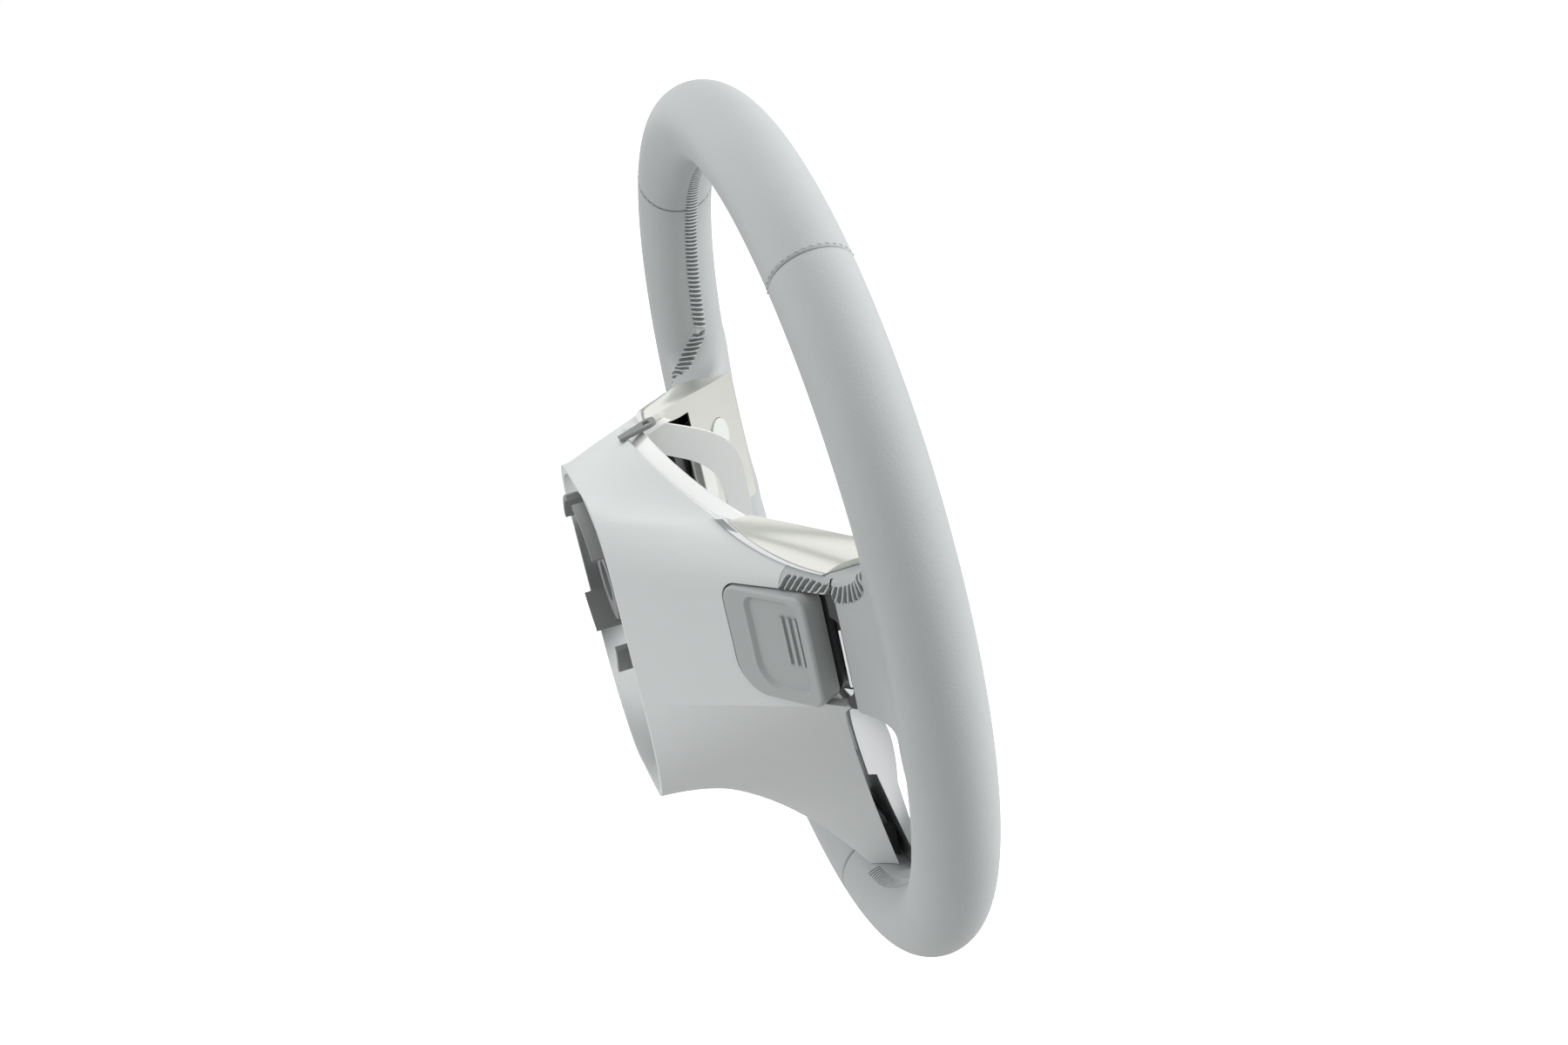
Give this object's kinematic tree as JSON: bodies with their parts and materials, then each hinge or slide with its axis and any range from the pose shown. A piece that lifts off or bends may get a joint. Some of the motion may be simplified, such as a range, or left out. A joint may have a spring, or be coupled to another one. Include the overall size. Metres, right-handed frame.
{
  "type": "car steering wheel",
  "caption": "Car steering wheel with a leather rim, two side spokes with shift rockers and keys, a broad lower spoke, a flared rear cover and an open hub for an airbag module.",
  "frame": {"origin": "centre of the shaft bore at its rear mouth, where the steering shaft enters", "axes": "+Y down the steering column, away from the driver; +Z to 12 o'clock of the rim; +X to the driver's right"},
  "size_m": [0.386, 0.112, 0.386],
  "materials": {
    "leather": "fine-grained, satin",
    "cover_plastic": "matt, fine texture",
    "satin_silver": "satin silver paint",
    "bright_frame": "bright, smooth",
    "chrome": "polished",
    "dark_plastic": "matt black",
    "key_plastic": "satin",
    "die_casting": "as cast",
    "foam": "moulded foam skin",
    "silicone": "soft",
    "board": "lacquered",
    "screw_steel": "zinc plated"
  },
  "bodies": {
    "wheel": {"armature": "die_casting", "rim_foam": "foam", "leather_top": "leather", "leather_left": "leather", "leather_right": "leather", "rear_cover": "cover_plastic", "airbag_frame": "bright_frame", "lower_trim": "satin_silver", "column_collar": "dark_plastic", "lip_tab": "dark_plastic", "board_screws": "screw_steel", "rocker_base_screws": "screw_steel", "cover_screws": "screw_steel", "left_chrome_strip": "chrome", "left_bezel": "satin_silver", "left_slot_bead": "chrome", "left_rocker_pin": "screw_steel", "left_rocker_base": "dark_plastic", "left_rocker_switch": "dark_plastic", "left_key_mat": "silicone", "left_switch_board": "board", "right_chrome_strip": "chrome", "right_bezel": "satin_silver", "right_slot_bead": "chrome", "right_rocker_pin": "screw_steel", "right_rocker_base": "dark_plastic", "right_rocker_switch": "dark_plastic", "right_key_mat": "silicone", "right_switch_board": "board"},
    "left_shift_rocker_body": {"left_shift_rocker": "cover_plastic"},
    "left_upper_button_body": {"left_upper_button": "key_plastic"},
    "left_lower_button_body": {"left_lower_button": "key_plastic"},
    "left_menu_key_body": {"left_menu_key": "key_plastic"},
    "right_shift_rocker_body": {"right_shift_rocker": "cover_plastic"},
    "right_upper_button_body": {"right_upper_button": "key_plastic"},
    "right_lower_button_body": {"right_lower_button": "key_plastic"},
    "right_menu_key_body": {"right_menu_key": "key_plastic"}
  },
  "joints": [
    {"name": "left_shift_press", "type": "hinge", "parent": "wheel", "child": "left_shift_rocker_body", "pos_m": [-0.09824, -0.03893, 0.0005], "axis": [0, 0, 1], "range_deg": [0, 3.5], "stiffness_Nm_per_rad": 0.9},
    {"name": "left_upper_button_press", "type": "slide", "parent": "wheel", "child": "left_upper_button_body", "axis": [-0.6247, 0.7809, 0], "range_m": [0, 0.001], "stiffness_N_per_m": 900},
    {"name": "left_lower_button_press", "type": "slide", "parent": "wheel", "child": "left_lower_button_body", "axis": [-0.6247, 0.7809, 0], "range_m": [0, 0.001], "stiffness_N_per_m": 900},
    {"name": "left_menu_key_press", "type": "slide", "parent": "wheel", "child": "left_menu_key_body", "axis": [-0.6247, 0.7809, 0], "range_m": [0, 0.001], "stiffness_N_per_m": 900},
    {"name": "right_shift_press", "type": "hinge", "parent": "wheel", "child": "right_shift_rocker_body", "pos_m": [0.09824, -0.03893, 0.0005], "axis": [0, 0, -1], "range_deg": [0, 3.5], "stiffness_Nm_per_rad": 0.9},
    {"name": "right_upper_button_press", "type": "slide", "parent": "wheel", "child": "right_upper_button_body", "axis": [0.6247, 0.7809, 0], "range_m": [0, 0.001], "stiffness_N_per_m": 900},
    {"name": "right_lower_button_press", "type": "slide", "parent": "wheel", "child": "right_lower_button_body", "axis": [0.6247, 0.7809, 0], "range_m": [0, 0.001], "stiffness_N_per_m": 900},
    {"name": "right_menu_key_press", "type": "slide", "parent": "wheel", "child": "right_menu_key_body", "axis": [0.6247, 0.7809, 0], "range_m": [0, 0.001], "stiffness_N_per_m": 900}
  ]
}
